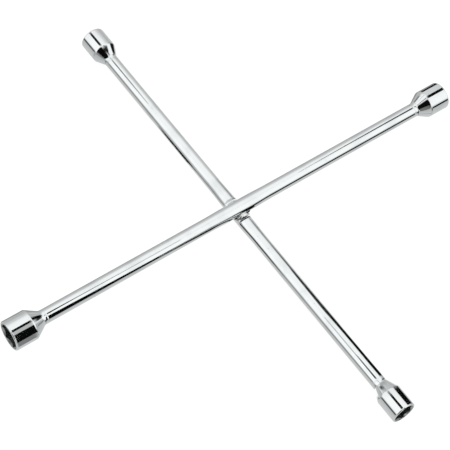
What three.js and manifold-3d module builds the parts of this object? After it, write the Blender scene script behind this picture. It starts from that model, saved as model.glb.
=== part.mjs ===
// Four-way lug wrench: two round steel bars crossed at right angles, with a hexagon
// socket for a different wheel nut on each of the four ends.
//
// Units are millimetres. +Z is up. The wrench lies level, its lower bar along Y and its
// upper bar along X, and the origin is under the crossing, at the height of the lowest
// socket. Each bar is pressed to a flat seat at its middle, the two seats lie face to
// face, and four fillet welds hold them. Each socket head is a forging, butt-welded to
// the end of its bar.

import * as THREE from "three";
import { mergeVertices } from "three/addons/utils/BufferGeometryUtils.js";
import Module from "manifold-3d";

const wasm = await Module();
wasm.setup();

const INCH = 25.4;

// ---- Driving dimensions ----

const SPAN = 20 * INCH; // from mouth to mouth, the same on both bars
const BAR_DIAMETER = 14;
const AXIS_STEP = 8; // the upper bar's axis above the lower bar's
const JOINT_GAP = 0.3; // between pieces that are welded together

const NUT_ACROSS_FLATS = {
  "7_8in": (7 / 8) * INCH,
  "13_16in": (13 / 16) * INCH,
  "3_4in": (3 / 4) * INCH,
  "11_16in": (11 / 16) * INCH,
};
const NUT_CLEARANCE = 0.2; // socket over nut, across flats
const CORNER_WALL = 1.85; // steel outside the hexagon's corners

const BARREL_LENGTH = 22.5; // the straight part of a head
const FLARE_LENGTH = 12; // the cone between the barrel and the neck
const NECK_LENGTH = 3; // as thick as the bar
const NECK_FILLET = 6;
const SHOULDER_FILLET = 2.5;
const MOUTH_BEVEL = 0.8; // outside edge of the mouth
const LEAD_IN = 0.2; // the countersink's edge outside the hexagon's corners
const POCKET_DEPTH = 21.5; // of the hexagon
const PUNCH_CONE = 2.5; // the pocket's conical end
const PUNCH_SHARE = 0.9; // that cone's width, of the hexagon across its flats

const SEAT_SPREAD = 1.07; // how much wider a bar is across its pressed seat
const WELD_ROOM = 4.8; // flat seat beyond the other bar, for the weld
const SEAT_RAMP = 1.4; // from the seat up to the full bar

const BEAD_RADIUS = 3.4;
const BEAD_OVERHANG = 2.3; // how far a bead reaches past the bar that it crosses
const BEAD_DROOP = 2; // how far its ends hang below its middle
const BEAD_STANDOFF = 0.5; // the bead's middle line outside the bar's flank
const BEAD_LIFT = 0.3; // and above the seat

const ROUND_SEGMENTS = 36;
const ARC_STEPS = 4;
const RAMP_STEPS = 4;

// ---- Values that follow ----

const BAR_RADIUS = BAR_DIAMETER / 2;
const SEAT_LEVEL = (AXIS_STEP - JOINT_GAP) / 2; // seat above its own bar's axis
const SEAT_HALF_WIDTH = BAR_RADIUS * SEAT_SPREAD;
const SEAT_HALF_LENGTH = SEAT_HALF_WIDTH + WELD_ROOM;
const HEAD_LENGTH = NECK_LENGTH + FLARE_LENGTH + BARREL_LENGTH;
const BAR_HALF_LENGTH = SPAN / 2 - HEAD_LENGTH - JOINT_GAP;

// A hexagon's corner radius, from its size across flats.
const cornerRadius = (acrossFlats) => acrossFlats / Math.sqrt(3);

// The hexagon that a socket is given for a nut.
const pocketAcrossFlats = (size) => NUT_ACROSS_FLATS[size] + NUT_CLEARANCE;

// The outside of a head's barrel.
const barrelRadius = (size) =>
  cornerRadius(pocketAcrossFlats(size)) + CORNER_WALL;

// Where each head goes: its bar, and its turn about Z from +Y.
const HEADS = [
  { size: "7_8in", bar: "upper", turn: Math.PI / 2 },
  { size: "13_16in", bar: "upper", turn: -Math.PI / 2 },
  { size: "3_4in", bar: "lower", turn: 0 },
  { size: "11_16in", bar: "lower", turn: Math.PI },
];

const largestRadius = (bar) =>
  Math.max(...HEADS.filter((h) => h.bar === bar).map((h) => barrelRadius(h.size)));

// The bottom of the largest lower head, or of a much larger upper one, is at zero.
const LOWER_AXIS = Math.max(largestRadius("lower"), largestRadius("upper") - AXIS_STEP);
const AXIS_HEIGHT = { lower: LOWER_AXIS, upper: LOWER_AXIS + AXIS_STEP };
const SEAT_PLANE = LOWER_AXIS + AXIS_STEP / 2;

// ---- Solids ----

// A three.js geometry as a manifold-3d solid.
function solidFrom(geometry) {
  const bare = geometry.index ? geometry.toNonIndexed() : geometry.clone();
  bare.deleteAttribute("normal");
  bare.deleteAttribute("uv");
  const merged = mergeVertices(bare, 1e-4);
  return new wasm.Manifold(
    new wasm.Mesh({
      numProp: 3,
      vertProperties: new Float32Array(merged.attributes.position.array),
      triVerts: new Uint32Array(merged.index.array),
    }),
  );
}

// A manifold-3d solid as a three.js geometry with flat-shaded faces.
function geometryFrom(solid) {
  const mesh = solid.getMesh();
  const geometry = new THREE.BufferGeometry();
  const positions = new THREE.BufferAttribute(mesh.vertProperties, mesh.numProp);
  geometry.setAttribute("position", positions);
  geometry.setIndex(new THREE.BufferAttribute(mesh.triVerts, 1));
  const flat = geometry.toNonIndexed();
  flat.computeVertexNormals();
  return flat;
}

// Corners given as [radius, height, fillet], as lathe points with the fillets drawn as arcs.
function filletedProfile(corners) {
  const at = ([radius, height]) => new THREE.Vector2(radius, height);
  return corners.flatMap((corner, i) => {
    const here = at(corner);
    const fillet = corner[2];
    if (!fillet) return [here];
    const back = at(corners[i - 1]).sub(here).normalize();
    const ahead = at(corners[i + 1]).sub(here).normalize();
    const halfAngle = Math.acos(back.dot(ahead)) / 2;
    const tangent = fillet / Math.tan(halfAngle);
    const toCentre = back.clone().add(ahead).setLength(fillet / Math.sin(halfAngle));
    const centre = here.clone().add(toCentre);
    const start = here.clone().addScaledVector(back, tangent).sub(centre);
    const end = here.clone().addScaledVector(ahead, tangent).sub(centre);
    return Array.from({ length: ARC_STEPS + 1 }, (_, k) =>
      start.clone().lerp(end, k / ARC_STEPS).setLength(fillet).add(centre),
    );
  });
}

// A bar along Y, with its seat pressed flat on +Z. grow makes it that much fatter all
// round, for cutting its neighbours clear of it.
function pressedBar(grow = 0) {
  const radius = BAR_RADIUS + grow;
  const ramp = Array.from(
    { length: RAMP_STEPS + 1 },
    (_, k) => SEAT_HALF_LENGTH + (SEAT_RAMP * k) / RAMP_STEPS,
  );
  const half = [...ramp, BAR_HALF_LENGTH];
  const stations = [...half.map((y) => -y).reverse(), ...half];
  const profile = [
    new THREE.Vector2(0, -BAR_HALF_LENGTH),
    ...stations.map((y) => new THREE.Vector2(radius, y)),
    new THREE.Vector2(0, BAR_HALF_LENGTH),
  ];
  const bar = new THREE.LatheGeometry(profile, ROUND_SEGMENTS);
  const points = bar.attributes.position;
  for (let i = 0; i < points.count; i++) {
    const past = Math.abs(points.getY(i)) - SEAT_HALF_LENGTH;
    const pressed = 1 - THREE.MathUtils.smoothstep(past, 0, SEAT_RAMP);
    const level = THREE.MathUtils.lerp(radius, SEAT_LEVEL + grow, pressed);
    points.setX(i, points.getX(i) * (1 + (SEAT_SPREAD - 1) * pressed));
    points.setZ(i, Math.min(points.getZ(i), level));
  }
  return bar;
}

// A socket head along +Y: its neck's face at the origin, its mouth at HEAD_LENGTH, and a
// corner of its hexagon on +Z.
function socketHead(size) {
  const across = pocketAcrossFlats(size);
  const corner = cornerRadius(across);
  const outside = barrelRadius(size);
  const shoulder = NECK_LENGTH + FLARE_LENGTH;
  const profile = filletedProfile([
    [0, 0],
    [BAR_RADIUS, 0],
    [BAR_RADIUS, NECK_LENGTH, NECK_FILLET],
    [outside, shoulder, SHOULDER_FILLET],
    [outside, HEAD_LENGTH - MOUTH_BEVEL],
    [outside - MOUTH_BEVEL, HEAD_LENGTH],
    [0, HEAD_LENGTH],
  ]);
  const body = solidFrom(new THREE.LatheGeometry(profile, ROUND_SEGMENTS));

  const past = 1; // how far a cutter runs past the mouth, or into another cutter
  const hexagon = new THREE.CylinderGeometry(corner, corner, POCKET_DEPTH + past, 6);
  hexagon.translate(0, HEAD_LENGTH - (POCKET_DEPTH - past) / 2, 0);

  // The countersink falls at 45 degrees from outside the corners to the flats.
  const leadInTop = corner + LEAD_IN;
  const leadInDepth = leadInTop - across / 2;
  const leadIn = new THREE.CylinderGeometry(
    leadInTop + past,
    leadInTop - leadInDepth,
    leadInDepth + past,
    ROUND_SEGMENTS,
  );
  leadIn.translate(0, HEAD_LENGTH - (leadInDepth - past) / 2, 0);

  // The punch leaves a cone under the hexagon.
  const coneRadius = (across / 2) * PUNCH_SHARE;
  const coneFloor = HEAD_LENGTH - POCKET_DEPTH - PUNCH_CONE;
  const cone = new THREE.LatheGeometry(
    [
      new THREE.Vector2(0, coneFloor),
      new THREE.Vector2(coneRadius, coneFloor + PUNCH_CONE),
      new THREE.Vector2(coneRadius, coneFloor + PUNCH_CONE + past),
      new THREE.Vector2(0, coneFloor + PUNCH_CONE + past),
    ],
    ROUND_SEGMENTS,
  );

  return [hexagon, leadIn, cone]
    .map(solidFrom)
    .reduce((left, cutter) => left.subtract(cutter), body);
}

// The quarter of the crossing on its -Y side, from the bars' centre out. A bead keeps to
// its own quarter, so it stops short of the next bead round the corner.
function crossingQuarter() {
  const reach = 2 * SEAT_HALF_LENGTH;
  const tip = -JOINT_GAP / Math.SQRT2;
  const outline = new THREE.Shape([
    new THREE.Vector2(0, tip),
    new THREE.Vector2(-reach, tip - reach),
    new THREE.Vector2(reach, tip - reach),
  ]);
  const quarter = new THREE.ExtrudeGeometry(outline, { depth: reach, bevelEnabled: false });
  return quarter.translate(0, 0, -reach / 2);
}

// A fillet weld along X, in the corner between a seat at z = 0 facing up and the flank
// of the bar that crosses it on its -Y side, with both bars cut out of it.
function weldBead() {
  const halfLength = SEAT_HALF_WIDTH + BEAD_OVERHANG - BEAD_RADIUS;
  const bead = new THREE.CapsuleGeometry(BEAD_RADIUS, 2 * halfLength, 4, 16, 6);
  bead.rotateZ(Math.PI / 2);
  bead.translate(0, -SEAT_HALF_WIDTH - BEAD_STANDOFF, BEAD_LIFT);
  const points = bead.attributes.position;
  for (let i = 0; i < points.count; i++) {
    const share = points.getX(i) / halfLength;
    points.setZ(i, points.getZ(i) - BEAD_DROOP * share * share);
  }
  const under = pressedBar(JOINT_GAP);
  under.translate(0, 0, -AXIS_STEP / 2);
  const over = pressedBar(JOINT_GAP);
  over.rotateY(Math.PI);
  over.rotateZ(-Math.PI / 2);
  over.translate(0, 0, AXIS_STEP / 2);
  return solidFrom(bead)
    .subtract(solidFrom(under))
    .subtract(solidFrom(over))
    .intersect(solidFrom(crossingQuarter()));
}

// ---- The wrench ----

const chrome = new THREE.MeshStandardMaterial({
  color: 0xd8dadc,
  roughness: 0.08,
  metalness: 1,
});
const platedWeld = new THREE.MeshStandardMaterial({
  color: 0xc4c6c8,
  roughness: 0.25,
  metalness: 1,
});

const wrench = new THREE.Group();

function addMesh(parent, name, geometry, material) {
  const mesh = new THREE.Mesh(geometry, material);
  mesh.name = name;
  parent.add(mesh);
  return mesh;
}

// The lower bar is as modelled. The upper one is turned over, and lies along X.
const barGeometry = geometryFrom(solidFrom(pressedBar()));
addMesh(wrench, "lower_bar", barGeometry, chrome).position.z = AXIS_HEIGHT.lower;

const upperPlace = new THREE.Group();
upperPlace.position.z = AXIS_HEIGHT.upper;
upperPlace.rotation.z = -Math.PI / 2;
addMesh(upperPlace, "upper_bar", barGeometry, chrome).rotation.y = Math.PI;
wrench.add(upperPlace);

for (const { size, bar, turn } of HEADS) {
  const place = new THREE.Group();
  place.position.z = AXIS_HEIGHT[bar];
  place.rotation.z = turn;
  const head = addMesh(place, `socket_${size}`, geometryFrom(socketHead(size)), chrome);
  head.position.y = BAR_HALF_LENGTH + JOINT_GAP;
  wrench.add(place);
}

// Two beads lie on the lower bar's seat. Turning them over and a quarter round puts two
// under the upper bar's seat.
const beadGeometry = geometryFrom(weldBead());
const beads = [
  { name: "weld_top_front", over: 0, turn: 0 },
  { name: "weld_top_back", over: 0, turn: Math.PI },
  { name: "weld_under_left", over: Math.PI, turn: Math.PI / 2 },
  { name: "weld_under_right", over: Math.PI, turn: -Math.PI / 2 },
];
for (const { name, over, turn } of beads) {
  const place = new THREE.Group();
  place.position.z = SEAT_PLANE;
  place.rotation.z = turn;
  addMesh(place, name, beadGeometry, platedWeld).rotation.y = over;
  wrench.add(place);
}

export default wrench;
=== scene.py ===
"""Four-way lug wrench: two chromed bars crossed and welded, with a wheel-nut socket on each end.

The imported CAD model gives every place. Each of its nodes is replaced here by a finer piece: bars
with a pressed seat, forged heads with a broached hexagon, and rippled weld beads. All lengths are
in metres, with +Z up.
"""

import logging
import math
from dataclasses import dataclass, field
from enum import Enum
from typing import Callable

import bpy
import bmesh
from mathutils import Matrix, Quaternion, Vector


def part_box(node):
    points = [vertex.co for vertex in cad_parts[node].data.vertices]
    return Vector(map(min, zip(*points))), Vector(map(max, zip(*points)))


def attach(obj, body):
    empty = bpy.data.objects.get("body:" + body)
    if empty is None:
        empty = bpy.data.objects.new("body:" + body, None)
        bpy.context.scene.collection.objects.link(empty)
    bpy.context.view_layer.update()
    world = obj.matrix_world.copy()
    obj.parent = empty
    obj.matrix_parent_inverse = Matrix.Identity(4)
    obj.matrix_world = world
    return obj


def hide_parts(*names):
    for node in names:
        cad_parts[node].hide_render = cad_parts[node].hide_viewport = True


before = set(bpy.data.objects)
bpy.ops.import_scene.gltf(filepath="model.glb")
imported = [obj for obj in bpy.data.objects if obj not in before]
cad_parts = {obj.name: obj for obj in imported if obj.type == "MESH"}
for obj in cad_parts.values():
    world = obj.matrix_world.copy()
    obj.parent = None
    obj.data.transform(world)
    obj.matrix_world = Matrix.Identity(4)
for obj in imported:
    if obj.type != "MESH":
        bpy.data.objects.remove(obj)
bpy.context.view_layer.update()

MM = 0.001
OVERCUT = 1.0 * MM  # How far a cutter reaches past what it cuts.
CLOSE = 0.01 * MM  # How near two places are when they count as one.
SLIVER = 0.002 * MM  # The longest edge that is merged away after a cut.
HEAD_NODES = {
    "upper_bar": ("socket_7_8in", "socket_13_16in"),
    "lower_bar": ("socket_11_16in", "socket_3_4in"),
}

log = logging.getLogger("lug_wrench")

Point = tuple[float, float, float]
Colour = tuple[float, float, float]


# ---- Finishes ----


class Slot(Enum):
    """The record's material slots."""

    BAR = "bar_plating"
    SOCKET = "socket_plating"
    WELD = "weld_plating"


class NodeSheet:
    """A material's or world's node tree, with short ways to add to it."""

    def __init__(self, tree: bpy.types.NodeTree) -> None:
        """Starts with an empty tree.

        Args:
            tree: The node tree to fill.
        """
        self.tree = tree
        tree.nodes.clear()

    def add(self, kind: str, **settings: object) -> bpy.types.Node:
        """Adds one node.

        Args:
            kind: The node's type.
            settings: Its own settings, by name.

        Returns:
            The node.
        """
        node = self.tree.nodes.new(kind)
        for name, value in settings.items():
            setattr(node, name, value)
        return node

    def show(self, surface: bpy.types.NodeSocket, kind: str = "ShaderNodeOutputMaterial") -> None:
        """Sends a shader to the tree's output, which is a material's unless a kind is given."""
        self.feed(self.add(kind).inputs["Surface"], surface)

    def metal(self, colour: object, roughness: object, height: object) -> None:
        """Makes the tree a metal with a relief.

        Args:
            colour: Its colour.
            roughness: Its roughness.
            height: Its relief, in metres.
        """
        shader = self.add("ShaderNodeBsdfPrincipled")
        shader.inputs["Metallic"].default_value = 1.0
        self.feed(shader.inputs["Base Color"], colour)
        self.feed(shader.inputs["Roughness"], roughness)
        bump = self.add("ShaderNodeBump")
        bump.inputs["Strength"].default_value = 1.0
        bump.inputs["Distance"].default_value = 1.0
        self.feed(bump.inputs["Height"], height)
        self.feed(shader.inputs["Normal"], bump.outputs[0])
        self.show(shader.outputs[0])

    def feed(self, target: bpy.types.NodeSocket, value: object) -> None:
        """Sets an input to a number or a colour, or links an output to it.

        Args:
            target: The input socket.
            value: An output socket to link, or a plain value.
        """
        if isinstance(value, bpy.types.NodeSocket):
            self.tree.links.new(value, target)
        else:
            target.default_value = value

    def math(self, operation: str, *values: object, clamp: bool = False) -> bpy.types.NodeSocket:
        """Adds a Math node.

        Args:
            operation: What it does.
            values: Its inputs, as numbers or output sockets.
            clamp: Whether the result is kept between 0 and 1.

        Returns:
            Its output.
        """
        node = self.add("ShaderNodeMath", operation=operation, use_clamp=clamp)
        for target, value in zip(node.inputs, values):
            self.feed(target, value)
        return node.outputs[0]

    def ramp(self, value: object, low: float, high: float, start: float, end: float) -> bpy.types.NodeSocket:
        """Maps a value smoothly from one range onto another.

        Args:
            value: The value.
            low: Where the smooth step starts.
            high: Where it ends.
            start: The result at low.
            end: The result at high.

        Returns:
            The mapped value.
        """
        node = self.add("ShaderNodeMapRange", interpolation_type="SMOOTHSTEP")
        for target, given in zip(node.inputs, (value, low, high, start, end)):
            self.feed(target, given)
        return node.outputs[0]

    def blend(self, share: object, below: object, above: object) -> bpy.types.NodeSocket:
        """Mixes two colours.

        Args:
            share: How much of the second one.
            below: The first colour.
            above: The second colour.

        Returns:
            The mixed colour.
        """
        node = self.add("ShaderNodeMix", data_type="RGBA")
        for index, given in ((0, share), (6, below), (7, above)):
            self.feed(node.inputs[index], given)
        return node.outputs[2]

    def noise(self, scale: float, detail: float, stretch: Point = (1, 1, 1)) -> bpy.types.NodeSocket:
        """Adds noise on the piece's own coordinates.

        Args:
            scale: How fine it is, in waves a metre.
            detail: How many finer layers it has.
            stretch: How much it is squeezed along each axis.

        Returns:
            The noise, from 0 to 1.
        """
        place = self.add("ShaderNodeTexCoord").outputs["Object"]
        mapping = self.add("ShaderNodeMapping")
        mapping.inputs["Scale"].default_value = stretch
        self.feed(mapping.inputs["Vector"], place)
        texture = self.add("ShaderNodeTexNoise")
        texture.inputs["Scale"].default_value = scale
        texture.inputs["Detail"].default_value = detail
        self.feed(texture.inputs["Vector"], mapping.outputs[0])
        return texture.outputs["Fac"]


def rgba(colour: Colour) -> tuple[float, float, float, float]:
    """A colour with full alpha."""
    return (*colour, 1.0)


def grey(level: float) -> Colour:
    """A grey with the faint blue-green of the studio's light."""
    return (level * 0.975, level, level * 0.995)


def new_material(name: str) -> tuple[bpy.types.Material, NodeSheet]:
    """A new material, and its empty node tree."""
    material = bpy.data.materials.new(name)
    material.use_nodes = True
    return material, NodeSheet(material.node_tree)


@dataclass(frozen=True)
class Plating:
    """Bright chrome plating, with the small faults that real plating has.

    The steel under it waves a little from drawing or forging, polishing leaves fine lines along
    it, handling leaves a faint haze in patches, and here and there is a pit.
    """

    name: str
    colour: Colour = (0.90, 0.905, 0.91)
    haze_colour: Colour = (0.80, 0.815, 0.825)
    pit_colour: Colour = (0.30, 0.31, 0.32)
    roughness: float = 0.025
    haze_roughness: float = 0.075
    haze_scale: float = 45.0
    haze_start: float = 0.45
    haze_full: float = 0.75
    wave_scale: float = 28.0
    wave_height: float = 0.02 * MM
    polish_scale: float = 2600.0
    polish_height: float = 0.0006 * MM
    polish_stretch: Point = (1.0, 1.0, 1.0)
    pit_scale: float = 420.0
    pit_threshold: float = 0.055
    pit_floor: float = 0.08
    pit_rim: float = 0.16

    def material(self) -> bpy.types.Material:
        """Builds the node material.

        Returns:
            The material.
        """
        material, sheet = new_material(self.name)
        haze = sheet.ramp(sheet.noise(self.haze_scale, 4.0), self.haze_start, self.haze_full, 0.0, 1.0)
        plated = sheet.blend(haze, rgba(self.colour), rgba(self.haze_colour))
        colour = sheet.blend(self._pits(sheet), plated, rgba(self.pit_colour))
        polish = sheet.noise(self.polish_scale, 2.0, self.polish_stretch)
        hazed = sheet.ramp(haze, 0.0, 1.0, self.roughness, self.haze_roughness)
        streaks = sheet.math("MULTIPLY", sheet.math("SUBTRACT", polish, 0.5), self.roughness)
        roughness = sheet.math("ADD", hazed, streaks, clamp=True)
        wave = sheet.math("MULTIPLY", sheet.noise(self.wave_scale, 1.0), self.wave_height)
        lines = sheet.math("MULTIPLY", polish, self.polish_height)
        sheet.metal(colour, roughness, sheet.math("ADD", wave, lines))
        return material

    def _pits(self, sheet: NodeSheet) -> bpy.types.NodeSocket:
        """Finds the few cells of a fine grain that hold a pit.

        Args:
            sheet: The material's nodes.

        Returns:
            1 in a pit and 0 elsewhere.
        """
        place = sheet.add("ShaderNodeTexCoord").outputs["Object"]
        cells = sheet.add("ShaderNodeTexVoronoi")
        cells.inputs["Scale"].default_value = self.pit_scale
        sheet.feed(cells.inputs["Vector"], place)
        near = sheet.ramp(cells.outputs["Distance"], self.pit_floor, self.pit_rim, 1.0, 0.0)
        tell = sheet.add("ShaderNodeSeparateColor")
        sheet.feed(tell.inputs[0], cells.outputs["Color"])
        chosen = sheet.math("LESS_THAN", tell.outputs[0], self.pit_threshold)
        return sheet.math("MULTIPLY", near, chosen)


@dataclass(frozen=True)
class DullSteelAndPaintedShade:
    """Steel where the plating is thin, with stains in patches and a fine grain; made near-black, it is also
    the painted shade in a weld's corner.
    """

    name: str
    colour: Colour
    stain: Colour
    roughness: float
    stain_roughness: float
    stain_scale: float
    stain_detail: float
    stain_full: float
    grain_scale: float
    grain_detail: float
    grain_height: float
    stain_start: float = 0.4

    def material(self) -> bpy.types.Material:
        """Builds the node material.

        Returns:
            The material.
        """
        material, sheet = new_material(self.name)
        stain = sheet.noise(self.stain_scale, self.stain_detail)
        patches = sheet.ramp(stain, self.stain_start, self.stain_full, 0.0, 1.0)
        colour = sheet.blend(patches, rgba(self.colour), rgba(self.stain))
        roughness = sheet.ramp(patches, 0.0, 1.0, self.roughness, self.stain_roughness)
        grain = sheet.noise(self.grain_scale, self.grain_detail)
        sheet.metal(colour, roughness, sheet.math("MULTIPLY", grain, self.grain_height))
        return material


# The inside of a hexagon, which the broach leaves dull.
POCKET_STEEL = DullSteelAndPaintedShade(
    name="thin_plating_in_pocket",
    colour=(0.46, 0.475, 0.47),
    stain=(0.16, 0.17, 0.165),
    roughness=0.22,
    stain_roughness=0.42,
    stain_scale=140.0,
    stain_detail=5.0,
    stain_full=0.7,
    grain_scale=900.0,
    grain_detail=2.0,
    grain_height=0.006 * MM,
)

# Painted shade: a near-black strip on the ramp of each bar's seat beside a weld, standing for the dark line
# of shade in that corner.
PAINTED_CORNER_SHADE = DullSteelAndPaintedShade(
    name="painted_shade_in_weld_corner",
    colour=(0.02, 0.021, 0.023),
    stain=(0.008, 0.008, 0.009),
    roughness=0.24,
    stain_roughness=0.5,
    stain_scale=700.0,
    stain_detail=4.0,
    stain_full=0.65,
    grain_scale=1400.0,
    grain_detail=3.0,
    grain_height=0.02 * MM,
)

Finish = Plating | DullSteelAndPaintedShade


# ---- Shaping ----


class Bench:
    """The modelling steps that the pieces share. Each acts on the active object."""

    @staticmethod
    def clear() -> None:
        """Leaves edit mode with nothing selected."""
        if bpy.context.object and bpy.context.object.mode == "EDIT":
            bpy.ops.object.mode_set(mode="OBJECT")
        bpy.ops.object.select_all(action="DESELECT")

    @staticmethod
    def active() -> bpy.types.Object:
        """The object being worked on."""
        return bpy.context.view_layer.objects.active

    @staticmethod
    def take(body: bpy.types.Object) -> None:
        """Selects one object and makes it the active one."""
        Bench.clear()
        body.select_set(True)
        bpy.context.view_layer.objects.active = body

    @staticmethod
    def pick(test: Callable[[Vector], bool]) -> int:
        """Selects only the vertices whose places pass a test, in edit mode.

        Args:
            test: Says whether the vertex at a place is wanted.

        Returns:
            How many are selected.
        """
        bpy.ops.mesh.select_mode(type="VERT")
        mesh = bmesh.from_edit_mesh(Bench.active().data)
        count = 0
        for vertex in mesh.verts:
            wanted = test(vertex.co)
            vertex.select_set(wanted)
            count += wanted
        mesh.select_flush_mode()
        bmesh.update_edit_mesh(Bench.active().data)
        return count

    @staticmethod
    def stack(rings: list[tuple[float, float]], sides: int) -> bpy.types.Object:
        """Builds a closed round body along Z, by extruding a disc from ring to ring.

        Args:
            rings: Each ring's (radius, height), from the bottom up.
            sides: How many sides each ring has.

        Returns:
            The body.
        """
        Bench.clear()
        radius, height = rings[0]
        bpy.ops.mesh.primitive_circle_add(
            vertices=sides, radius=radius, fill_type="NGON", location=(0, 0, height)
        )
        body = Bench.active()
        bpy.ops.object.transform_apply(location=True, rotation=True, scale=True)
        bpy.ops.object.mode_set(mode="EDIT")
        bpy.ops.mesh.select_all(action="SELECT")
        for next_radius, next_height in rings[1:]:
            bpy.ops.mesh.extrude_region_move(
                TRANSFORM_OT_translate={"value": (0, 0, next_height - height)}
            )
            grow = next_radius / radius
            bpy.ops.transform.resize(value=(grow, grow, 1), center_override=(0, 0, next_height))
            radius, height = next_radius, next_height
        bpy.ops.mesh.select_all(action="SELECT")
        bpy.ops.mesh.normals_make_consistent(inside=False)
        Bench.clear()
        return body

    @staticmethod
    def cut(body: bpy.types.Object, cutter: bpy.types.Object) -> None:
        """Cuts one solid out of another and removes the cutter.

        Args:
            body: The solid that is kept.
            cutter: The solid that is cut out of it.
        """
        Bench.take(body)
        step = body.modifiers.new("cut", "BOOLEAN")
        step.operation = "DIFFERENCE"
        step.solver = "EXACT"
        step.object = cutter
        bpy.ops.object.modifier_apply(modifier=step.name)
        bpy.data.objects.remove(cutter)

    @staticmethod
    def round_edges(body: bpy.types.Object, width: float, segments: int, angle: float) -> None:
        """Rounds every edge sharper than an angle.

        Args:
            body: The solid.
            width: How far the rounding reaches from the edge.
            segments: Its number of steps.
            angle: The least angle that is rounded, in degrees.
        """
        Bench.take(body)
        step = body.modifiers.new("round", "BEVEL")
        step.width = width
        step.segments = segments
        step.limit_method = "ANGLE"
        step.angle_limit = math.radians(angle)
        bpy.ops.object.modifier_apply(modifier=step.name)

    @staticmethod
    def lay(body: bpy.types.Object, place: Vector, turn: Quaternion) -> None:
        """Moves a body to its place and puts that place into its mesh.

        Args:
            body: The body, modelled about the origin.
            place: Where its origin goes.
            turn: How it is turned.
        """
        Bench.take(body)
        body.rotation_mode = "QUATERNION"
        body.rotation_quaternion = turn
        body.location = place
        bpy.ops.object.transform_apply(location=True, rotation=True, scale=True)

    @staticmethod
    def smooth(body: bpy.types.Object, angle: float) -> None:
        """Shades a body smooth, apart from edges sharper than an angle in degrees."""
        Bench.take(body)
        bpy.ops.object.shade_smooth_by_angle(angle=math.radians(angle))


def made(finish: Finish) -> bpy.types.Material:
    """A finish's material, which is made once and shared."""
    return bpy.data.materials.get(finish.name) or finish.material()


def settle(piece: bpy.types.Object, name: str, node: str) -> None:
    """Names a finished piece and puts it in the wrench in a CAD node's stead.

    Args:
        piece: The finished piece.
        name: Its name.
        node: The CAD node it stands for.
    """
    piece.name = name
    piece.data.name = name
    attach(piece, "root")
    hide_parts(node)
    log.info("%s: %d faces", name, len(piece.data.polygons))


def middle(node: str) -> Vector:
    """The middle of a CAD node's box."""
    low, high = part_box(node)
    return (low + high) / 2


def filleted(corners: list[tuple[float, float, float]], steps: int) -> list[tuple[float, float]]:
    """Rounds the inner corners of an outline.

    Args:
        corners: Each corner's (radius, height, fillet).
        steps: How many steps each fillet has.

    Returns:
        The outline's (radius, height) points, with a point just outside each end of a fillet so
        that the shading stays flat up to it.
    """
    guard = 0.25 * MM
    points: list[tuple[float, float]] = []
    for index, (radius, height, fillet) in enumerate(corners):
        here = Vector((radius, height))
        if not fillet:
            points.append((radius, height))
            continue
        back = (Vector(corners[index - 1][:2]) - here).normalized()
        ahead = (Vector(corners[index + 1][:2]) - here).normalized()
        half = back.angle(ahead) / 2
        reach = fillet / math.tan(half)
        centre = here + (back + ahead).normalized() * (fillet / math.sin(half))
        start = here + back * reach - centre
        end = here + ahead * reach - centre
        sweep = start.angle(end)
        points.append(tuple(centre + start + back * guard))
        for step in range(steps + 1):
            share = step / steps
            arm = start * math.sin((1 - share) * sweep) + end * math.sin(share * sweep)
            points.append(tuple(centre + arm / math.sin(sweep)))
        points.append(tuple(centre + end + ahead * guard))
    return points


# ---- The bars ----


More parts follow.
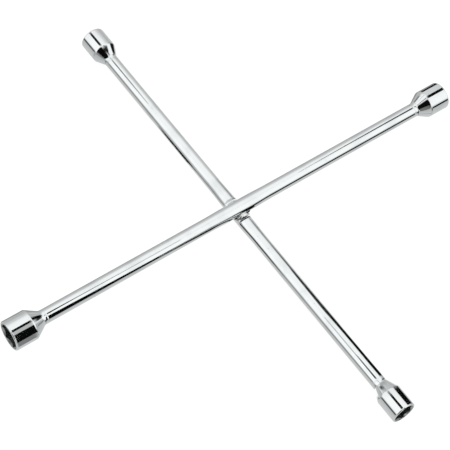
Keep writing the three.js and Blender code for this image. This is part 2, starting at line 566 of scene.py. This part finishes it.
@dataclass
class Bar:
    """A round bar, pressed to a flat seat at its middle where the other bar crosses it."""

    name: str
    node: str
    along: Point
    seat_side: float
    finish: Plating
    axis_step: float
    sides: int = 128
    seat_half_length: float = 12.3 * MM
    seat_spread: float = 1.07
    # These four numbers bound the strip of painted shade on the seat's ramp.
    shade_strip_share: float = 0.9
    shade_strip_slope: float = 0.12
    shade_strip_drop: float = 0.1 * MM
    shade_strip_reach: float = 0.99
    ramp: float = 1.4 * MM
    ramp_steps: int = 8
    bulge_reach: float = 24.0 * MM
    bulge_steps: int = 12
    edge_round: float = 0.45 * MM
    joint_gap: float = 0.3 * MM
    smooth_angle: float = 35.0
    piece: bpy.types.Object | None = field(default=None, init=False)

    def build(self) -> None:
        """Models the bar along its own axis, with its seat on top, and lays it in place."""
        low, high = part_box(self.node)
        size = high - low
        length = max(size)
        radius = size.z / 2
        Bench.clear()
        bpy.ops.mesh.primitive_cylinder_add(
            vertices=self.sides,
            radius=radius,
            depth=length + 2 * self.joint_gap,
            location=(0, 0, 0),
            rotation=(math.pi / 2, 0, 0),
        )
        self.piece = Bench.active()
        bpy.ops.object.transform_apply(location=True, rotation=True, scale=True)
        self._slice(length / 2)
        self._press(radius)
        Bench.round_edges(self.piece, self.edge_round, 3, 38)
        self._paint_corner_shade()
        self._place((low + high) / 2)

    def _stations(self) -> list[float]:
        """The distances from the middle at which the pressing changes."""
        return [self.seat_half_length + self.ramp * k / self.ramp_steps for k in range(self.ramp_steps + 1)]

    def _bulge_stations(self) -> list[float]:
        """The distances from the middle at which the spread of the flanks dies away."""
        start = self.seat_half_length + self.ramp
        step = (self.bulge_reach - self.ramp) / self.bulge_steps
        return [start + step * (k + 1) for k in range(self.bulge_steps)]

    def _slice(self, half_length: float) -> None:
        """Cuts rings of edges round the bar where it will be pressed, and near its ends.

        Args:
            half_length: Half the bar's length.
        """
        bpy.ops.object.mode_set(mode="EDIT")
        guards = [self.seat_half_length - self.ramp, half_length - 3 * self.edge_round]
        for distance in [*self._stations(), *self._bulge_stations(), *guards]:
            for side in (-1, 1):
                bpy.ops.mesh.select_all(action="SELECT")
                bpy.ops.mesh.bisect(plane_co=(0, side * distance, 0), plane_no=(0, 1, 0))

    def _press(self, radius: float) -> None:
        """Presses the top of each ring down to the seat and spreads its flanks.

        Args:
            radius: The bar's radius.
        """
        seat = (self.axis_step - self.joint_gap) / 2
        outer = self._stations()[-1]
        rings = [self.seat_half_length - self.ramp, *self._stations(), *self._bulge_stations()]
        for distance in rings:
            bulge = self._ease((self.seat_half_length + self.bulge_reach - distance) / self.bulge_reach)
            level = radius + (seat - radius) * self._ease((outer - distance) / self.ramp)
            Bench.pick(lambda place: self._on_ring(place, distance))
            spread = 1 + (self.seat_spread - 1) * bulge
            bpy.ops.transform.resize(value=(spread, 1, 1), center_override=(0, 0, 0))
            if distance < outer and Bench.pick(
                lambda place: self._on_ring(place, distance) and place.z > level
            ):
                bpy.ops.transform.resize(value=(1, 1, 0), center_override=(0, 0, level))
        Bench.clear()

    @staticmethod
    def _on_ring(place: Vector, distance: float) -> bool:
        """Whether a place is on one of the two rings at a distance from the middle."""
        return abs(abs(place.y) - distance) < CLOSE

    @staticmethod
    def _ease(share: float) -> float:
        """A smooth step from 0 to 1."""
        share = min(max(share, 0.0), 1.0)
        return share * share * (3 - 2 * share)

    def _paint_corner_shade(self) -> None:
        """Gives the seat's front edge and its ramp the second material slot, which holds the painted shade of
        the weld's corner.
        """
        inner = self.seat_half_length - self.shade_strip_share * self.ramp
        outer = self.seat_half_length + self.ramp
        crest = max(vertex.co.z for vertex in self.piece.data.vertices) - self.shade_strip_drop
        for face in self.piece.data.polygons:
            spot = face.center
            if -outer < spot.y < -inner and 0 < spot.z < crest and face.normal.z > self.shade_strip_slope:
                if abs(spot.x) < self.shade_strip_reach * math.sqrt(crest**2 - spot.z**2):
                    face.material_index = 1

    def _place(self, centre: Vector) -> None:
        """Turns the bar over if its seat faces down, and lays it along its own direction.

        Args:
            centre: Where its middle goes.
        """
        along = Vector(self.along)
        swing = Vector((0, 1, 0)).rotation_difference(along)
        over = Quaternion((0, 1, 0), 0.0 if self.seat_side > 0 else math.pi)
        Bench.lay(self.piece, centre, swing @ over)

    def dress(self) -> None:
        """Smooths and plates the bar, and puts it in the wrench."""
        Bench.smooth(self.piece, self.smooth_angle)
        self.piece.data.materials.append(made(self.finish))
        # The second slot is painted shade: a near-black strip for the dark line in the weld's corner.
        self.piece.data.materials.append(made(PAINTED_CORNER_SHADE))
        settle(self.piece, self.name, self.node)


# ---- The heads ----


@dataclass
class Head:
    """A forged socket head: a neck, a flare and a round barrel with a hexagon pocket.

    It is modelled pointing up, with its neck's face at zero.
    """

    name: str
    node: str
    points: Point
    across_flats: float
    bar_radius: float
    finish: Plating
    clearance: float = 0.2 * MM
    neck: float = 3.0 * MM
    neck_fillet: float = 6.0 * MM
    flare: float = 12.0 * MM
    shoulder_fillet: float = 2.5 * MM
    mouth_round: float = 1.15 * MM
    lead_in: float = 0.2 * MM
    lead_in_round: float = 0.45 * MM
    corner_round: float = 0.6 * MM
    pocket_depth: float = 21.5 * MM
    punch_cone: float = 2.5 * MM
    punch_share: float = 0.9
    punch_tip_share: float = 0.05
    lead_in_deeper: float = 1.15
    lead_in_steps: int = 4
    sides: int = 144
    steps: int = 10
    polished_lip: float = 0.35 * MM
    smooth_angle: float = 32.0
    piece: bpy.types.Object | None = field(default=None, init=False)

    def build(self) -> None:
        """Models the head, cuts its pocket, and lays it in place."""
        low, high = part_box(self.node)
        size = high - low
        outside = size.z / 2
        length = size.x if self.points[0] else size.y
        self.piece = Bench.stack(self._outline(outside, length), self.sides)
        for cutter in (self._hexagon(length), self._countersink(length), self._punch(length)):
            Bench.cut(self.piece, cutter)
        self._clean()
        self._tell_pocket(outside, length)
        centre = (low + high) / 2
        direction = Vector(self.points)
        foot = centre - direction * (length / 2)
        lean = Vector((0, 0, 1)).rotation_difference(direction)
        Bench.lay(self.piece, foot, lean)

    def _outline(self, outside: float, length: float) -> list[tuple[float, float]]:
        """The head's outside, from the neck to the mouth.

        Args:
            outside: The barrel's radius.
            length: The head's whole length.

        Returns:
            The rings' (radius, height).
        """
        shoulder = self.neck + self.flare
        rings = [(self.bar_radius, 0.0, 0.0)]
        rings.append((self.bar_radius, self.neck, self.neck_fillet))
        rings.append((outside, shoulder, self.shoulder_fillet))
        rings.append((outside, length, self.mouth_round))
        rings.append((self._countersink_top(), length, 0.0))
        return filleted(rings, self.steps)

    def _corner_radius(self) -> float:
        """The hexagon's corner radius."""
        return (self.across_flats + self.clearance) / math.sqrt(3)

    def _countersink_top(self) -> float:
        """The countersink's radius at the mouth."""
        return self._corner_radius() + self.lead_in

    def _hexagon(self, length: float) -> bpy.types.Object:
        """The broached hexagon's cutter, with its corners slightly rounded.

        Args:
            length: The head's whole length.

        Returns:
            The cutter.
        """
        Bench.clear()
        bpy.ops.mesh.primitive_cylinder_add(
            vertices=6,
            radius=self._corner_radius(),
            depth=self.pocket_depth + OVERCUT,
            location=(0, 0, length - (self.pocket_depth - OVERCUT) / 2),
        )
        cutter = Bench.active()
        bpy.ops.object.transform_apply(location=True, rotation=True, scale=True)
        step = cutter.modifiers.new("corners", "BEVEL")
        step.width = self.corner_round
        step.segments = 4
        step.limit_method = "ANGLE"
        step.angle_limit = math.radians(50)
        bpy.ops.object.modifier_apply(modifier=step.name)
        return cutter

    def _countersink(self, length: float) -> bpy.types.Object:
        """The cutter of the round lead-in, which rolls over from the mouth's face.

        Args:
            length: The head's whole length.

        Returns:
            The cutter.
        """
        top = self._countersink_top()
        depth = top - (self.across_flats + self.clearance) / 2
        roll = self.lead_in_round
        rings = [(top - depth * self.lead_in_deeper, length - depth * self.lead_in_deeper)]
        for step in range(self.lead_in_steps + 1):
            angle = math.radians(45) * (1 - step / self.lead_in_steps)
            drop = roll * (1 - math.cos(angle))
            reach = roll * (math.tan(math.radians(22.5)) - math.sin(angle))
            rings.append((top + reach, length - drop))
        brim = top + 2 * roll
        rings.append((brim, length + 5 * CLOSE))
        rings.append((brim, length + OVERCUT))
        return Bench.stack(rings, self.sides)

    def _punch(self, length: float) -> bpy.types.Object:
        """The cutter of the pocket's conical end.

        Args:
            length: The head's whole length.

        Returns:
            The cutter.
        """
        wide = (self.across_flats + self.clearance) / 2 * self.punch_share
        floor = length - self.pocket_depth
        tip = self.punch_tip_share * wide
        rings = [(tip, floor - self.punch_cone), (wide, floor), (wide, floor + OVERCUT)]
        return Bench.stack(rings, self.sides)

    def _clean(self) -> None:
        """Merges the slivers that the cuts leave."""
        Bench.take(self.piece)
        bpy.ops.object.mode_set(mode="EDIT")
        bpy.ops.mesh.select_all(action="SELECT")
        bpy.ops.mesh.remove_doubles(threshold=SLIVER)
        bpy.ops.mesh.normals_make_consistent(inside=False)
        Bench.clear()

    def _tell_pocket(self, outside: float, length: float) -> None:
        """Gives the faces down the pocket the second material slot.

        Args:
            outside: The barrel's radius. It is not used.
            length: The head's whole length.
        """
        inner = self._corner_radius() + CLOSE
        rim = length - self.polished_lip
        for face in self.piece.data.polygons:
            spot = face.center
            facing_in = Vector((spot.x, spot.y)).dot(Vector((face.normal.x, face.normal.y))) < 0
            down = spot.z < rim and spot.z > length - self.pocket_depth - 2 * self.punch_cone
            within = math.hypot(spot.x, spot.y) < inner
            if within and down and (facing_in or face.normal.z > 0.5):
                face.material_index = 1

    def dress(self) -> None:
        """Smooths and plates the head, and puts it in the wrench."""
        Bench.smooth(self.piece, self.smooth_angle)
        self.piece.data.materials.append(made(self.finish))
        self.piece.data.materials.append(made(POCKET_STEEL))
        settle(self.piece, self.name, self.node)


# ---- The welds ----


@dataclass
class Bead:
    """A fillet weld in the corner between a bar's seat and the flank of the bar across it."""

    name: str
    node: str
    turn: float
    over: bool
    radius: float = 3.1 * MM
    half_length: float = 5.9 * MM
    tip: float = 2.1 * MM
    taper: float = 3.0
    droop: float = 2.0 * MM
    ripple: float = 0.01
    ripple_pitch: float = 1.9 * MM
    least_share: float = 0.05
    stations: int = 36
    sides: int = 40
    standoff: float = 7.7 * MM
    lift: float = 0.5 * MM
    smooth_angle: float = 60.0
    piece: bpy.types.Object | None = field(default=None, init=False)

    def build(self, seat_plane: float) -> None:
        """Models the bead along X and lays it in its corner.

        Args:
            seat_plane: The height at which the two seats meet.
        """
        self.piece = Bench.stack(self._rings(), self.sides)
        upright = Quaternion((0, 1, 0), math.pi / 2)
        Bench.lay(self.piece, Vector((0, -self.standoff, self.lift)), upright)
        self._sag()
        swing = Quaternion((0, 0, 1), self.turn)
        over = Quaternion((0, 1, 0), math.pi if self.over else 0.0)
        Bench.lay(self.piece, Vector((0, 0, seat_plane)), swing @ over)

    def _rings(self) -> list[tuple[float, float]]:
        """The bead's rings, with tapered ends and the ripples of its laying.

        Returns:
            The rings' (radius, height).
        """
        reach = self.half_length + self.tip
        rings = []
        for step in range(self.stations + 1):
            along = -reach * math.cos(math.pi * (step + 0.25) / (self.stations + 0.5))
            thick = self.radius * math.sqrt(1 - (abs(along) / reach) ** self.taper)
            wave = 1 + self.ripple * math.cos(2 * math.pi * along / self.ripple_pitch)
            rings.append((max(thick * wave, self.least_share * self.radius), along))
        return rings

    def _sag(self) -> None:
        """Lets the bead's ends hang down over the seat's edges."""
        bpy.ops.object.mode_set(mode="EDIT")
        for step in range(self.stations // 2):
            reach = self.half_length * (step + 1) / (self.stations // 2)
            drop = self.droop * (2 * step + 1) / (self.stations // 2) ** 2
            Bench.pick(lambda place: abs(place.x) > reach - self.half_length / self.stations)
            bpy.ops.transform.translate(value=(0, 0, -drop))
        Bench.clear()

    def dress(self, finish: Plating) -> None:
        """Smooths and plates the bead, and puts it in the wrench."""
        Bench.smooth(self.piece, self.smooth_angle)
        self.piece.data.materials.append(made(finish))
        settle(self.piece, self.name, self.node)


# ---- The studio ----


@dataclass(frozen=True)
class Card:
    """A flat card or lamp a long way off, which the chrome reflects.

    Angles are in degrees: azimuth is from +Y towards +X, and the sizes are half-angles.
    """

    azimuth: float
    elevation: float
    half_width: float
    half_height: float
    tone: Colour
    edge: float = 3.0

    def shade(self, sheet: NodeSheet, direction: bpy.types.NodeSocket, below: object) -> bpy.types.NodeSocket:
        """Puts the card over what is behind it.

        Args:
            sheet: The world's nodes.
            direction: The direction looked in.
            below: The colour behind the card.

        Returns:
            The colour with the card in front.
        """
        forward, side, rise = self._axes()
        depth = self._dot(sheet, direction, forward)
        mask = sheet.math("GREATER_THAN", depth, 0.02)
        for axis, half in ((side, self.half_width), (rise, self.half_height)):
            slope = sheet.math("DIVIDE", self._dot(sheet, direction, axis), depth)
            far = sheet.math("ABSOLUTE", slope)
            inner = math.tan(math.radians(max(half - self.edge, 0.0)))
            outer = math.tan(math.radians(half + self.edge))
            mask = sheet.math("MULTIPLY", mask, sheet.ramp(far, inner, outer, 1.0, 0.0))
        return sheet.blend(mask, below, rgba(self.tone))

    def _axes(self) -> tuple[Vector, Vector, Vector]:
        """The card's direction, and the directions of its width and its height."""
        azimuth, elevation = math.radians(self.azimuth), math.radians(self.elevation)
        flat = Vector((math.sin(azimuth), math.cos(azimuth), 0))
        forward = flat * math.cos(elevation) + Vector((0, 0, math.sin(elevation)))
        side = Vector((math.cos(azimuth), -math.sin(azimuth), 0))
        return forward, side, side.cross(forward)

    @staticmethod
    def _dot(sheet: NodeSheet, direction: bpy.types.NodeSocket, axis: Vector) -> bpy.types.NodeSocket:
        """How far a direction goes along an axis."""
        node = sheet.add("ShaderNodeVectorMath", operation="DOT_PRODUCT")
        sheet.feed(node.inputs[0], direction)
        sheet.feed(node.inputs[1], axis)
        return node.outputs["Value"]


@dataclass(frozen=True)
class Flag:
    """A strip of card held along a bar or a head, which the chrome reflects as a line.

    Only reflections see it. Each knot is (millimetres along the bar, share, share): the part of
    the bar's width, from its far edge to its near one, that the line takes up there, seen from the
    camera. The card stands where that part of the surface reflects.
    """

    node: str
    tone: Colour
    knots: tuple[Point, ...]
    reach: float = 1.5
    rows: int = 6

    def raise_card(self, camera: Vector, name: str) -> None:
        """Makes the card.

        Args:
            camera: Where the camera is.
            name: The card's name.
        """
        Bench.clear()
        bpy.ops.mesh.primitive_grid_add(
            x_subdivisions=self.rows, y_subdivisions=len(self.knots) - 1, size=1
        )
        card = Bench.active()
        card.name = name
        columns = self.rows + 1
        for index, vertex in enumerate(card.data.vertices):
            along, first, last = self.knots[index // columns]
            share = first + (last - first) * (index % columns) / self.rows
            vertex.co = self._spot(camera, along * MM, share)
        for ray in ("camera", "diffuse", "transmission", "volume_scatter", "shadow"):
            setattr(card, f"visible_{ray}", False)
        material, sheet = new_material(name)
        glow = sheet.add("ShaderNodeEmission")
        glow.inputs["Color"].default_value = rgba(self.tone)
        sheet.show(glow.outputs[0])
        card.data.materials.append(material)

    def _spot(self, camera: Vector, along: float, share: float) -> Vector:
        """Finds where the camera sees a point of the surface reflect.

        Args:
            camera: Where the camera is.
            along: The point's distance along the bar.
            share: Its place across the bar's width, from 0 to 1.

        Returns:
            A point of the card.
        """
        low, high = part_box(self.node)
        size = high - low
        axis = Vector((1, 0, 0)) if size.x > size.y else Vector((0, 1, 0))
        radius, slope = self._girth(abs(along), along > 0)
        centre = Vector((0, 0, (low.z + high.z) / 2)) + axis * along
        toward = camera - centre
        toward = (toward - toward.project(axis)).normalized()
        across = toward.cross(axis)
        if (across.z if size.x > size.y else across.x) > 0:
            across.negate()
        lean = math.asin(2 * share - 1)
        outward = toward * math.cos(lean) + across * math.sin(lean)
        back = -axis if along > 0 else axis
        normal = outward * math.cos(slope) + back * math.sin(slope)
        surface = centre + outward * radius
        bounce = (surface - camera).normalized().reflect(normal)
        return surface + bounce * self.reach

    def _girth(self, distance: float, far_end: bool) -> tuple[float, float]:
        """Tells how thick the wrench is at a place, and how steeply it flares there.

        Args:
            distance: The distance from the crossing.
            far_end: Whether it is towards the bar's positive end.

        Returns:
            The radius, and the flare's angle.
        """
        bar_low, bar_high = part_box(self.node)
        radius = (bar_high.z - bar_low.z) / 2
        head_low, head_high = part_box(HEAD_NODES[self.node][far_end])
        head = (head_high.z - head_low.z) / 2
        start = max(bar_high - bar_low) / 2 + Head.neck
        end = start + Head.flare
        if distance <= start:
            return radius, 0.0
        if distance >= end:
            return head, 0.0
        share = (distance - start) / Head.flare
        return radius + (head - radius) * share, math.atan2(head - radius, Head.flare)


@dataclass
class Studio:
    """A white room with lamps, dark flags and strips of card, a pale floor and the camera."""

    backdrop: float = 1.0
    floor_glow: float = 0.93
    floor_colour: float = 0.16
    floor_side: float = 24.0
    azimuth: float = 42.8
    elevation: float = 56.9
    roll: float = 8.44
    distance: float = 1.451
    aim: tuple[float, float] = (-0.0201, -0.0069)
    lens: float = 122.35
    sensor: float = 36.0

    def cards(self) -> list[Card]:
        """The room's flags and lamps, from the back forwards."""
        return [
            Card(165, 36, 65, 26, grey(1.05), edge=10),
            Card(-85, 36, 55, 26, grey(1.05), edge=10),
            Card(-133, 34, 27, 32, grey(0.004), edge=4),
            Card(15, -34, 26, 14, grey(0.28), edge=6),
            Card(62, -32, 6, 12, grey(1.0), edge=4),
        ]

    def flags(self) -> list[Flag]:
        """The strips of card along the two bars and their heads."""
        black, dark, mid, pale = grey(0.003), grey(0.08), grey(0.22), grey(0.5)
        upper, lower = "upper_bar", "lower_bar"
        near_line = (
            (-256, 0.555, 0.805),
            (-232, 0.56, 0.805),
            (-216, 0.575, 0.805),
            (-198, 0.6, 0.805),
            (-162, 0.65, 0.81),
            (-126, 0.69, 0.815),
            (-90, 0.72, 0.835),
            (-54, 0.75, 0.89),
            (-30, 0.745, 0.96),
            (-10, 0.745, 0.965),
            (8, 0.77, 0.87),
            (60, 0.765, 0.845),
            (216, 0.765, 0.85),
        )
        far_line = (
            (-216, 0.015, 0.18),
            (-198, 0.035, 0.19),
            (-162, 0.06, 0.185),
            (-126, 0.085, 0.182),
            (-90, 0.098, 0.176),
            (-54, 0.12, 0.165),
        )
        far_end_line = ((70, 0.38, 0.39), (120, 0.34, 0.39), (180, 0.312, 0.4), (216, 0.305, 0.41))
        dash = ((62, 0.86, 0.9), (74, 0.83, 0.965), (104, 0.84, 0.955), (116, 0.85, 0.88))
        return [
            Flag(upper, black, near_line),
            Flag(upper, black, ((-256, 0.385, 0.455), (-232, 0.385, 0.455))),
            Flag(upper, pale, ((-256, 0.455, 0.555), (-232, 0.455, 0.56))),
            Flag(upper, mid, ((-256, 0.805, 0.93), (-232, 0.805, 0.93))),
            Flag(upper, black, ((-216, 0.385, 0.47), (-186, 0.41, 0.455))),
            Flag(upper, mid, ((-186, 0.41, 0.46), (-140, 0.44, 0.47))),
            Flag(upper, pale, ((-140, 0.44, 0.48), (-70, 0.46, 0.5))),
            Flag(upper, dark, far_end_line, reach=0.35),
            Flag(upper, black, ((232, 0.045, 0.105), (256, 0.04, 0.11))),
            Flag(upper, grey(0.72), ((232, 0.105, 0.298), (256, 0.11, 0.295)), reach=0.35),
            Flag(upper, black, ((232, 0.298, 0.395), (256, 0.295, 0.4)), reach=0.35),
            Flag(upper, black, ((232, 0.75, 0.805), (256, 0.75, 0.805))),
            Flag(lower, black, far_line),
            Flag(lower, mid, ((-54, 0.11, 0.175), (0, 0.105, 0.175), (40, 0.11, 0.15))),
            Flag(lower, black, ((-256, 0.04, 0.205), (-232, 0.045, 0.205))),
            Flag(lower, black, ((-256, 0.395, 0.483), (-232, 0.4, 0.483))),
            Flag(lower, dark, ((-256, 0.75, 0.805), (-232, 0.752, 0.803))),
            Flag(lower, black, ((-216, 0.42, 0.515), (-186, 0.445, 0.495))),
            Flag(lower, pale, ((-190, 0.45, 0.51), (-140, 0.47, 0.52))),
            Flag(lower, mid, ((-216, 0.745, 0.805), (-150, 0.79, 0.84), (-80, 0.8, 0.85))),
            Flag(lower, black, ((-80, 0.8, 0.84), (-44, 0.745, 0.85), (-14, 0.725, 0.855))),
            Flag(lower, mid, ((14, 0.82, 0.87), (62, 0.84, 0.9))),
            Flag(lower, black, dash),
            Flag(lower, mid, ((116, 0.82, 0.87), (170, 0.77, 0.83), (216, 0.745, 0.815))),
            Flag(lower, dark, ((150, 0.43, 0.455), (180, 0.405, 0.46), (216, 0.395, 0.465))),
            Flag(lower, black, ((232, 0.397, 0.486), (256, 0.4, 0.486))),
            Flag(lower, dark, ((232, 0.75, 0.803), (256, 0.748, 0.805))),
            # The flares.
            Flag(upper, black, ((-228.5, 0.33, 0.53), (-221, 0.31, 0.5))),
            Flag(upper, mid, ((-229, 0.61, 0.69), (-220, 0.65, 0.72))),
            Flag(upper, grey(0.17), ((220, 0.65, 0.8), (230, 0.64, 0.78))),
            Flag(upper, mid, ((220, 0.07, 0.14), (228, 0.08, 0.13))),
            Flag(lower, black, ((222.5, 0.36, 0.6), (224.5, 0.3, 0.8), (231, 0.22, 0.8))),
            Flag(lower, black, ((221, 0.02, 0.12), (231, 0.01, 0.11))),
            Flag(lower, grey(0.42), ((-229, 0.06, 0.5), (-221, 0.06, 0.5))),
            Flag(lower, black, ((-228.5, 0.44, 0.61), (-223, 0.48, 0.67))),
            Flag(lower, grey(1.1), ((-229, 0.86, 0.99), (-220, 0.85, 0.99))),
        ]

    def raise_flags(self) -> None:
        """Puts up the strips of card."""
        camera = bpy.context.scene.camera.location
        for number, flag in enumerate(self.flags()):
            flag.raise_card(camera, f"flag_{number}")

    def light(self) -> None:
        """Builds the room as the world that the chrome reflects."""
        world = bpy.data.worlds.new("studio")
        bpy.context.scene.world = world
        world.use_nodes = True
        sheet = NodeSheet(world.node_tree)
        direction = sheet.add("ShaderNodeTexCoord").outputs["Generated"]
        parts = sheet.add("ShaderNodeSeparateXYZ")
        sheet.feed(parts.inputs[0], direction)
        height = sheet.math("MULTIPLY_ADD", parts.outputs[2], 0.5, 0.5)
        walls = sheet.add("ShaderNodeValToRGB")
        sheet.feed(walls.inputs[0], height)
        self._paint_walls(walls.color_ramp)
        colour = walls.outputs[0]
        for card in self.cards():
            colour = card.shade(sheet, direction, colour)
        room = sheet.add("ShaderNodeBackground")
        sheet.feed(room.inputs["Color"], colour)
        plain = sheet.add("ShaderNodeBackground")
        sheet.feed(plain.inputs["Color"], rgba((self.backdrop,) * 3))
        choose = sheet.add("ShaderNodeMixShader")
        seen = sheet.add("ShaderNodeLightPath").outputs["Is Camera Ray"]
        for target, given in zip(choose.inputs, (seen, room.outputs[0], plain.outputs[0])):
            sheet.feed(target, given)
        sheet.show(choose.outputs[0], "ShaderNodeOutputWorld")

    @staticmethod
    def _paint_walls(ramp: bpy.types.ColorRamp) -> None:
        """Sets the room's tone by height, from the floor to the ceiling.

        Args:
            ramp: The colour ramp, from straight down to straight up.
        """
        levels = {-90: 0.64, -45: 0.62, -15: 0.53, 2: 0.48, 16: 0.56, 35: 0.72, 47: 0.93, 60: 1.0, 90: 1.0}
        while len(ramp.elements) > 1:
            ramp.elements.remove(ramp.elements[-1])
        for index, (elevation, level) in enumerate(levels.items()):
            place = (math.sin(math.radians(elevation)) + 1) / 2
            stop = ramp.elements[0] if index == 0 else ramp.elements.new(place)
            stop.position = place
            stop.color = rgba(grey(level))

    def lay_floor(self) -> None:
        """Lays the pale floor, which the chrome doesn't reflect, because the room has its own."""
        Bench.clear()
        bpy.ops.mesh.primitive_plane_add(size=self.floor_side, location=(0, 0, 0))
        floor = Bench.active()
        floor.name = "floor"
        floor.visible_glossy = False
        material, sheet = new_material("pale_floor")
        matt = sheet.add("ShaderNodeBsdfDiffuse")
        matt.inputs["Color"].default_value = rgba((self.floor_colour,) * 3)
        glow = sheet.add("ShaderNodeEmission")
        glow.inputs["Color"].default_value = rgba((self.floor_glow,) * 3)
        both = sheet.add("ShaderNodeAddShader")
        for target, given in zip(both.inputs, (matt.outputs[0], glow.outputs[0])):
            sheet.feed(target, given)
        sheet.show(both.outputs[0])
        floor.data.materials.append(material)

    def set_camera(self, height: float) -> None:
        """Sets the camera over the near corner of the cross.

        Args:
            height: The height that it looks at.
        """
        azimuth, elevation = math.radians(self.azimuth), math.radians(self.elevation)
        level = math.cos(elevation)
        looks = Vector((math.sin(azimuth) * level, math.cos(azimuth) * level, -math.sin(elevation)))
        data = bpy.data.cameras.new("camera")
        data.lens = self.lens
        data.sensor_width = self.sensor
        data.clip_end = 100.0
        camera = bpy.data.objects.new("camera", data)
        bpy.context.scene.collection.objects.link(camera)
        camera.location = Vector((*self.aim, height)) - looks * self.distance
        camera.rotation_mode = "QUATERNION"
        tilt = Quaternion((0, 0, 1), math.radians(self.roll))
        camera.rotation_quaternion = looks.to_track_quat("-Z", "Y") @ tilt
        bpy.context.scene.camera = camera

    def set_tones(self) -> None:
        """Shows the tones as they are lit."""
        bpy.context.scene.view_settings.view_transform = "Standard"


# ---- The wrench ----


@dataclass
class Wrench:
    """The whole wrench: two bars, four heads and four weld beads."""

    inch: float = 25.4 * MM
    bar_finish: Plating = Plating("bar_chrome")
    head_finish: Plating = Plating("head_chrome", wave_scale=60.0, wave_height=0.012 * MM)
    weld_finish: Plating = Plating(
        "weld_chrome", roughness=0.34, haze_roughness=0.42, wave_scale=300.0, wave_height=0.012 * MM
    )
    # Painted shade: the beads under the upper bar get near-black chrome, standing for the shade between the
    # bars; their plating is no darker than the other beads'.
    under_painted_shade_finish: Plating = Plating(
        "weld_chrome_painted_shade_underneath",
        colour=(0.05, 0.052, 0.055),
        haze_colour=(0.025, 0.026, 0.028),
        roughness=0.09,
        haze_roughness=0.2,
        wave_scale=300.0,
        wave_height=0.012 * MM,
    )

    def bars(self) -> list[Bar]:
        """The two bars, which have their seats face to face."""
        step = middle("upper_bar").z - middle("lower_bar").z
        return [
            Bar("bar_lower", "lower_bar", (0, 1, 0), 1, self.bar_finish, step),
            Bar("bar_upper", "upper_bar", (1, 0, 0), -1, self.bar_finish, step),
        ]

    def heads(self) -> list[Head]:
        """The four heads, largest first."""
        low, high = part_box("lower_bar")
        radius = (high.z - low.z) / 2
        kinds = (
            ("7_8in", 7 / 8, (-1, 0, 0)),
            ("13_16in", 13 / 16, (1, 0, 0)),
            ("3_4in", 3 / 4, (0, 1, 0)),
            ("11_16in", 11 / 16, (0, -1, 0)),
        )
        return [
            Head(f"head_{size}", f"socket_{size}", points, nut * self.inch, radius, self.head_finish)
            for size, nut, points in kinds
        ]

    def beads(self) -> list[Bead]:
        """The two beads on the lower bar's seat, and the two under the upper bar's."""
        quarter = math.pi / 2
        return [
            Bead("bead_top_front", "weld_top_front", 0.0, False),
            Bead("bead_top_back", "weld_top_back", 2 * quarter, False),
            Bead("bead_under_left", "weld_under_left", quarter, True),
            Bead("bead_under_right", "weld_under_right", -quarter, True),
        ]

    def build(self) -> None:
        """Builds and dresses every piece."""
        seat_plane = (middle("upper_bar").z + middle("lower_bar").z) / 2
        for bar in self.bars():
            bar.build()
            bar.dress()
        for head in self.heads():
            head.build()
            head.dress()
        for bead in self.beads():
            bead.build(seat_plane)
            # The beads underneath get the near-black painted shade.
            bead.dress(self.under_painted_shade_finish if bead.over else self.weld_finish)


def main() -> None:
    """Builds the wrench, the studio round it and the camera."""
    logging.basicConfig(level=logging.INFO, format="%(name)s %(message)s")
    Wrench().build()
    studio = Studio()
    studio.lay_floor()
    studio.light()
    studio.set_camera((middle("upper_bar").z + middle("lower_bar").z) / 2)
    studio.raise_flags()
    studio.set_tones()


if __name__ == "__main__":
    main()
